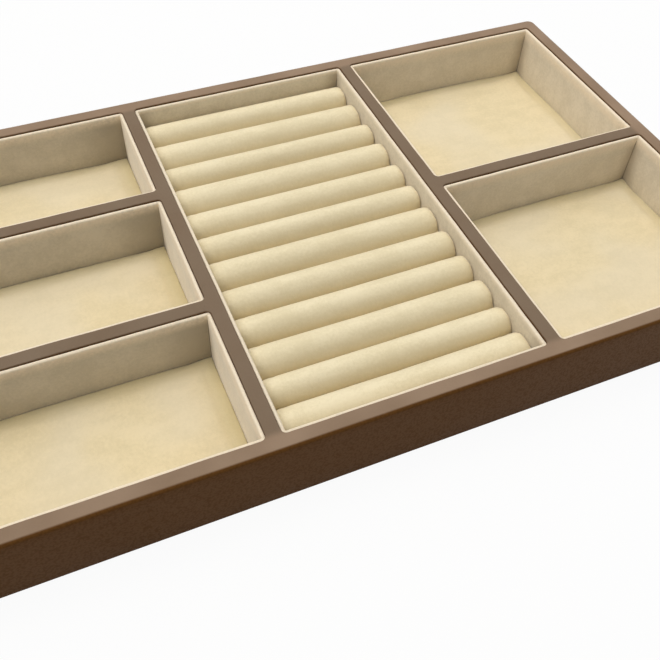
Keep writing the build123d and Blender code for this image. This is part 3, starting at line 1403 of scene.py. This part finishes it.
@dataclass
class FloorPad:
    """The padded velvet floor of one well."""

    well: Well
    finish: bpy.types.Material
    plumping: Plumping
    voxel: float = 0.0022
    reach: float = 0.0020
    snug: float = 0.00025
    sink: float = 0.0008
    most: float = 0.0013
    edge_radius: float = 0.0008
    smoothing: int = 3
    dip: float = 0.00018
    trough_depth: float = 0.00030
    trough_from_wall: float = 0.0062
    trough_run: float = 0.0018
    first_seed: int = 40
    shortest_wave: float = 0.02
    longest_wave: float = 0.07

    @property
    def node(self) -> str:
        """The node that the pad stands for."""
        return f"{self.well.value}_well_floor_pad"

    def start(self) -> None:
        """Make the lean pad and put it in line to be filled."""
        low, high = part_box(self.node)
        size = Vector((high.x - low.x + 2 * self.reach, high.y - low.y + 2 * self.reach,
                       high.z - low.z + self.sink - self.most))
        middle = Vector(((low.x + high.x) / 2, (low.y + high.y) / 2,
                         low.z - self.sink + size.z / 2))
        lean = rounded_block(f"{self.well.value}_velvet_pad", middle, size, self.edge_radius, True)
        self.piece = self.plumping.add(lean, self.voxel, self.most, low.z)

    def finish_up(self) -> bpy.types.Object:
        """Finish the filled pad.

        Returns:
            The finished piece.
        """
        low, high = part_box(self.node)
        piece = finish_soft(self.piece, self.smoothing, low, high, Vector((self.snug, self.snug, 0.0)))
        points = coordinates(piece.data)
        height_share = (points[:, 2] - low.z) / (high.z - low.z)
        ripple = Ripple(self.first_seed + list(Well).index(self.well), self.shortest_wave,
                        self.longest_wave)
        waves = ripple.at(points[:, :2])
        from_wall = -Rect(low.x, high.x, low.y, high.y).distance(points[:, :2], 0.0)
        trough = np.exp(-((from_wall - self.trough_from_wall) / self.trough_run) ** 2)
        lower = self.dip * np.clip(1.0 + waves, 0.0, None) + self.trough_depth * trough
        points[:, 2] -= lower * np.clip(height_share, 0.0, 1.0)
        move_to(piece.data, points)
        # The distance from the walls, for the pad's painted shade along them.
        note(piece.data, FROM_SEAM, from_wall)
        dress(piece, self.finish)
        settle(piece, Body.TRAY, Slot.VELVET, self.node)
        return piece


@dataclass
class RingInsert:
    """The lift-out bank of ring rolls on its carrier card."""

    finish: bpy.types.Material
    foam: bpy.types.Material
    plumping: Plumping
    shape: RollShape
    rolls: int = 12
    voxel: float = 0.0021
    lean: float = 0.0001
    snug: float = 0.00008
    sink: float = 0.0010
    most: float = 0.0012
    end_run: float = 0.0032
    end_thinning_share: float = 0.10
    foot_radius: float = 0.0012
    end_reach: float = 0.0010
    length_spread: float = 0.0004
    height_spread: float = 0.0004
    smoothing: int = 4
    path_steps: int = 50
    spread_seed: int = 21
    fold_depth: float = 0.00014
    fold_from_end: float = 0.0068
    fold_run: float = 0.0013
    fold_waver: float = 0.0008
    fold_seed: int = 80
    fold_waves: Pair = (0.008, 0.02)
    sleeve: float = 0.0024
    core_steps: int = 10
    carrier_bevel: float = 0.0007
    sharp_from: float = 50.0

    def start(self) -> None:
        """Make the lean rolls and put them in line to be filled."""
        chance = np.random.default_rng(self.spread_seed)
        self.pieces = []
        for number in range(1, self.rolls + 1):
            low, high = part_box(self._node(number))
            shorter = chance.uniform(0.0, self.length_spread, 2)
            lower = chance.uniform(0.0, self.height_spread)
            lean = self._lean_roll(number, low, high, shorter, lower)
            self.pieces.append(self.plumping.add(lean, self.voxel, self.most, low.z))

    def finish_up(self) -> list[bpy.types.Object]:
        """Finish the filled rolls, and add the carrier and the foam cores.

        Returns:
            The finished pieces.
        """
        done = []
        for number, piece in enumerate(self.pieces, 1):
            low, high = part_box(self._node(number))
            piece = finish_soft(piece, self.smoothing, low, high, Vector((0.0, self.snug, 0.0)))
            self._fold(piece.data, number)
            # How far each point faces the front, for the painted shade on the rolls' front sides.
            forward = -np.array([v.normal.y for v in piece.data.vertices])
            note(piece.data, FRONT_SHADE, np.clip(forward, 0.0, 1.0))
            dress(piece, self.finish)
            settle(piece, Body.INSERT, Slot.VELVET, self._node(number))
            done.append(piece)
        return done + [self._carrier(), self._cores()]

    def _node(self, number: int) -> str:
        """The node of one roll."""
        return f"ring_roll_{number:02d}"

    def _lean_roll(self, number: int, low: Vector, high: Vector, shorter: np.ndarray,
                   lower: float) -> bpy.types.Object:
        """Sweep one roll, smaller than its room by what the filling adds.

        Args:
            number: Which roll, from the back.
            low: The lowest corner of its room.
            high: The highest corner.
            shorter: How much shorter it is at its two ends.
            lower: How much lower its top is.

        Returns:
            The lean roll.
        """
        left = low.x - self.end_reach + shorter[0]
        right = high.x + self.end_reach - shorter[1]
        share = np.linspace(-1.0, 1.0, self.path_steps + 1)
        across = (1.0 - np.cos((share + 1.0) * math.pi / 2)) / 2
        along = left + (right - left) * across
        from_end = np.minimum(along - left, right - along)
        inward = np.clip(1.0 - from_end / self.end_run, 0.0, 1.0)
        girth = 1.0 - self.end_thinning_share * (1.0 - np.sqrt(1.0 - inward ** 2))
        middle = (low.y + high.y) / 2
        foot = low.z - self.sink
        path = np.column_stack([along, np.full(len(along), middle), np.full(len(along), foot)])
        return sweep(f"velvet_roll_{number:02d}", self.shape.tree, path, girth, {
            "Width": high.y - low.y - 2 * self.lean,
            "Height": high.z - foot - self.lean - lower,
            "Foot Radius": self.foot_radius,
            "Finish": self.finish,
        })

    def _fold(self, mesh: bpy.types.Mesh, number: int) -> None:
        """Press a shallow fold round each end, where the velvet is tucked in.

        Args:
            mesh: The finished roll.
            number: Which roll, from the back.
        """
        points = coordinates(mesh)
        normals = np.array([v.normal for v in mesh.vertices])
        waves = Ripple(self.fold_seed + number, *self.fold_waves).at(points)
        from_end = points[:, 0].max() - np.abs(points[:, 0])
        beyond = (from_end - self.fold_from_end - self.fold_waver * waves) / self.fold_run
        move_to(mesh, points - normals * (self.fold_depth * np.exp(-beyond ** 2))[:, None])

    def _cores(self) -> bpy.types.Object:
        """Sweep the foam inside the velvet rolls, all of it as one piece.

        Returns:
            The finished piece.
        """
        cores = bmesh.new()
        for number in range(1, self.rolls + 1):
            low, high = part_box(self._node(number))
            along = np.linspace(low.x + self.sleeve, high.x - self.sleeve, self.core_steps)
            middle = (low.y + high.y) / 2
            path = np.column_stack([along, np.full(len(along), middle), np.full(len(along), low.z)])
            core = sweep(f"foam_core_{number:02d}", self.shape.tree, path, None, {
                "Width": high.y - low.y - 2 * self.sleeve,
                "Height": high.z - low.z - self.sleeve,
                "Foot Radius": self.foot_radius,
                "Finish": self.foam,
            })
            cores.from_mesh(core.data)
            bpy.data.objects.remove(core)
        piece = show_shape("foam_roll_cores", cores)
        dress(piece, self.foam)
        soften(piece, self.sharp_from)
        settle(piece, Body.INSERT, Slot.FOAM, "ring_roll_cores")
        return piece

    def _carrier(self) -> bpy.types.Object:
        """Build the velvet-covered carrier card with soft edges.

        Returns:
            The finished piece.
        """
        low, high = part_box("ring_insert_carrier")
        piece = rounded_block("velvet_carrier_card", (low + high) / 2, high - low,
                              self.carrier_bevel, False)
        dress(piece, self.finish)
        soften(piece, self.sharp_from)
        settle(piece, Body.INSERT, Slot.VELVET, "ring_insert_carrier")
        return piece


@dataclass
class Carcass:
    """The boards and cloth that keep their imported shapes: rails, dividers and base."""

    fibreboard: bpy.types.Material
    suede: bpy.types.Material

    def finish(self, nodes: dict[str, bpy.types.Object]) -> None:
        """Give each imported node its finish.

        Args:
            nodes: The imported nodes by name.
        """
        for name, piece in nodes.items():
            if name.endswith(("_rail", "_divider")) or name == "base_panel":
                dress(piece, self.fibreboard)
            elif name == "base_cloth":
                dress(piece, self.suede)


@dataclass(frozen=True)
class Lamp:
    """A soft rectangular lamp that looks at the tray."""

    name: str
    azimuth: float
    elevation: float
    distance: float
    width: float
    height: float
    power: float
    colour: Colour

    def place(self) -> None:
        """Hang the lamp: azimuth is from the back towards the right, in degrees."""
        data = bpy.data.lights.new(self.name, "AREA")
        data.shape = "RECTANGLE"
        data.size = self.width
        data.size_y = self.height
        data.energy = self.power
        data.color = self.colour
        lamp = show(self.name, data)
        azimuth, elevation = math.radians(self.azimuth), math.radians(self.elevation)
        away = Vector((math.sin(azimuth) * math.cos(elevation),
                       math.cos(azimuth) * math.cos(elevation), math.sin(elevation)))
        lamp.rotation_euler = away.to_track_quat("Z", "Y").to_euler()
        lamp.location = away * self.distance


@dataclass
class Studio:
    """The pale floor, the lamps, the world and the camera."""

    white: tuple[float, ...] = (1.0, 1.0, 1.0, 1.0)
    floor_size: float = 6.0
    floor_colour: Colour = (0.80, 0.79, 0.77)
    floor_white_share: float = 0.94
    world_colour: Colour = (0.94, 0.97, 1.0)
    world_strength: float = 0.31
    camera_place: tuple[float, float, float] = (-0.1330, -0.3012, 0.3333)
    camera_azimuth: float = 25.66
    camera_elevation: float = 49.81
    camera_roll: float = 3.25
    camera_lens: float = 45.27
    camera_sensor: float = 36.0
    lamps: tuple[Lamp, ...] = (
        Lamp("back_panel", azimuth=31.0, elevation=59.0, distance=1.2, width=1.13, height=1.06,
             power=6.1, colour=(1.0, 0.99, 0.97)),
        Lamp("overhead", azimuth=-74.0, elevation=66.0, distance=3.6, width=2.13, height=2.13,
             power=67.0, colour=(1.0, 0.98, 0.95)),
    )

    def build(self) -> None:
        """Set the studio up."""
        view = bpy.context.scene.view_settings
        view.view_transform = "Standard"
        self._floor()
        self._world()
        for lamp in self.lamps:
            lamp.place()
        self._camera()

    def _white_rays(self, graph: Graph) -> Field:
        """Pick the rays to which the background looks white.

        They come from the camera, straight or off or through something clear.

        Args:
            graph: Where the nodes go.

        Returns:
            1 for such a ray, and else 0.
        """
        path = graph.node("ShaderNodeLightPath").outputs
        seen = Field(graph, path["Is Camera Ray"]) + Field(graph, path["Is Glossy Ray"])
        seen = seen + Field(graph, path["Is Transmission Ray"])
        return seen > 0.5

    def _floor(self) -> None:
        """Lay a pale floor that looks white but keeps the tray's shadow."""
        plane = bmesh.new()
        bmesh.ops.create_grid(plane, x_segments=1, y_segments=1, size=self.floor_size / 2)
        floor = show_shape("floor", plane)
        s = Surface("pale_floor")
        s.constants(Base_Color=self.floor_colour, Roughness=0.9, Specular_IOR_Level=0.0)
        white = s.node("ShaderNodeEmission", None, {"Color": self.white, "Strength": 1.0})
        share = self._white_rays(s) * self.floor_white_share
        mixed = s.node("ShaderNodeMixShader", None,
                       {0: share, 1: s.shader.outputs[0], 2: white.outputs[0]})
        s.tree.links.new(mixed.outputs[0], s.tree.nodes["Material Output"].inputs["Surface"])
        dress(floor, s.material)

    def _world(self) -> None:
        """Light the room evenly, and show white to the camera."""
        world = bpy.data.worlds.new("room")
        world.use_nodes = True
        bpy.context.scene.world = world
        g = Graph(world.node_tree)
        soft = world.node_tree.nodes["Background"]
        soft.inputs["Color"].default_value = (*self.world_colour, 1.0)
        soft.inputs["Strength"].default_value = self.world_strength
        white = g.node("ShaderNodeBackground", None, {"Color": self.white, "Strength": 1.0})
        mixed = g.node("ShaderNodeMixShader", None,
                       {0: self._white_rays(g), 1: soft.outputs[0], 2: white.outputs[0]})
        g.tree.links.new(mixed.outputs[0], g.tree.nodes["World Output"].inputs["Surface"])

    def _camera(self) -> None:
        """Stand the camera where the photograph was taken from."""
        data = bpy.data.cameras.new("photo_camera")
        data.lens = self.camera_lens
        data.sensor_width = self.camera_sensor
        camera = show("photo_camera", data)
        turn = (Matrix.Rotation(math.radians(-self.camera_azimuth), 4, "Z")
                @ Matrix.Rotation(math.radians(90.0 - self.camera_elevation), 4, "X")
                @ Matrix.Rotation(math.radians(self.camera_roll), 4, "Z"))
        camera.matrix_world = Matrix.Translation(self.camera_place) @ turn
        bpy.context.scene.camera = camera


def corners(bounds: tuple) -> list[list[float]]:
    """A box as two plain lists."""
    return [[float(x) for x in corner] for corner in bounds]


def main() -> None:
    """Build the tray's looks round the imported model."""
    logging.basicConfig(level=logging.INFO, format="%(name)s %(message)s")
    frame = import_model()
    leatherette = Leatherette().material()
    lining_velvet = LINING_VELVET.material()
    ring_shaded_lining_velvet = RING_SHADED_VELVET.material()
    shaded_back_velvet = SHADED_BACK_VELVET.material()
    pad_velvet = PAD_VELVET.material()
    roll_velvet = ROLL_VELVET.material()

    Studio().build()
    Carcass(Fibreboard().material(), Suede().material()).finish(frame["nodes"])
    sheet = Cover(leatherette).build()
    settle(sheet, Body.TRAY, Slot.LEATHERETTE, "leatherette_cover")

    board_shape = BoardShape()
    for well in Well:
        # The ring well takes the darker copy of the lining velvet, as painted shade.
        finish = ring_shaded_lining_velvet if well is Well.RING else lining_velvet
        # The back boards of the left wells take the darker copy, as painted shade.
        back_finish = shaded_back_velvet if well in LEFT_WELLS else finish
        Lining(well, finish, back_finish, board_shape).build()

    plumping = Plumping()
    pads = [FloorPad(well, pad_velvet, plumping) for well in Well]
    insert = RingInsert(roll_velvet, Foam().material(), plumping, RollShape())
    for pad in pads:
        pad.start()
    insert.start()
    plumping.run()
    for pad in pads:
        pad.finish_up()
    insert.finish_up()


if __name__ == "__main__":
    main()
